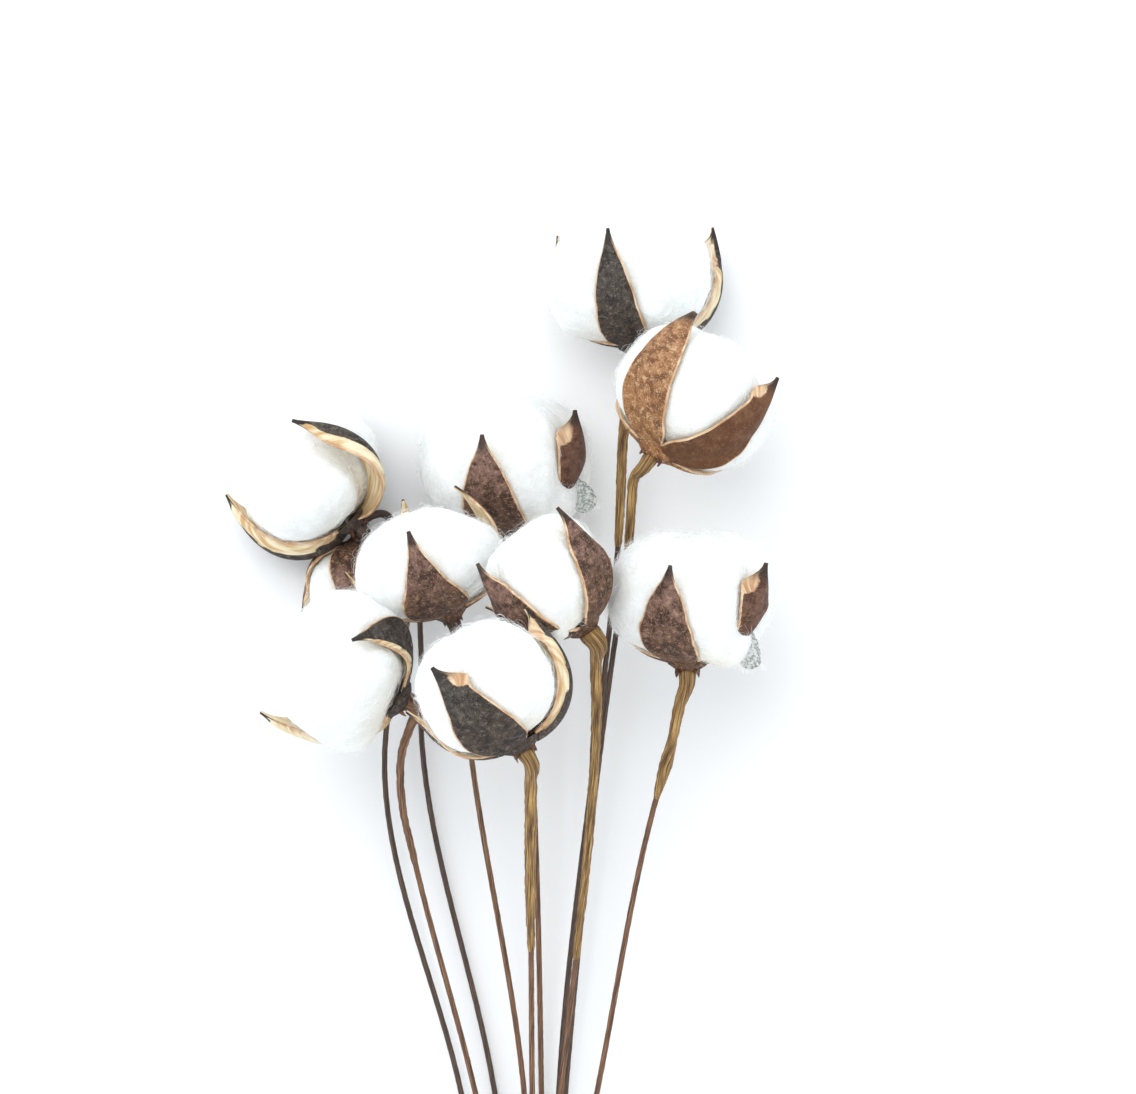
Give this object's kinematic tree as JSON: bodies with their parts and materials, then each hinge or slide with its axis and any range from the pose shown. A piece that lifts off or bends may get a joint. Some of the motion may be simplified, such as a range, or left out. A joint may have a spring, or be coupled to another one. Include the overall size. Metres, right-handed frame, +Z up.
{
  "type": "cotton stem bunch",
  "caption": "Dried cotton bolls on thin wrapped stems, gathered side by side and lying on a table, with white lint held in pointed brown burs.",
  "frame": {"origin": "on the table, under the middle of the lying bunch", "axes": "+X across the bunch, +Y along the stems towards the bolls, +Z up from the table"},
  "size_m": [0.1786, 0.4283, 0.1266],
  "materials": {
    "cotton_lint": "soft white fibre",
    "bur_charcoal": "dry, finely speckled",
    "bur_brown": "dry, finely speckled",
    "bur_copper": "dry, mottled",
    "stalk_wrap": "crinkled waxed tape",
    "stem_wrap": "waxed tape over wire"
  },
  "bodies": {
    "root": {"lint_top": "cotton_lint", "bur_top": "bur_charcoal", "stalk_top": "stalk_wrap", "stem_top": "stem_wrap", "lint_upper_right": "cotton_lint", "bur_upper_right": "bur_copper", "stalk_upper_right": "stalk_wrap", "stem_upper_right": "stem_wrap", "lint_upper_middle": "cotton_lint", "bur_upper_middle": "bur_brown", "stalk_upper_middle": "stalk_wrap", "stem_upper_middle": "stem_wrap", "lint_upper_left": "cotton_lint", "bur_upper_left": "bur_charcoal", "stalk_upper_left": "stalk_wrap", "stem_upper_left": "stem_wrap", "lint_small": "cotton_lint", "bur_small": "bur_brown", "stalk_small": "stalk_wrap", "stem_small": "stem_wrap", "lint_middle": "cotton_lint", "bur_middle": "bur_brown", "stalk_middle": "stalk_wrap", "stem_middle": "stem_wrap", "lint_middle_right": "cotton_lint", "bur_middle_right": "bur_brown", "stalk_middle_right": "stalk_wrap", "stem_middle_right": "stem_wrap", "lint_right": "cotton_lint", "bur_right": "bur_brown", "stalk_right": "stalk_wrap", "stem_right": "stem_wrap", "lint_lower_left": "cotton_lint", "bur_lower_left": "bur_charcoal", "stalk_lower_left": "stalk_wrap", "stem_lower_left": "stem_wrap", "lint_front": "cotton_lint", "bur_front": "bur_charcoal", "stalk_front": "stalk_wrap", "stem_front": "stem_wrap"}
  },
  "joints": []
}
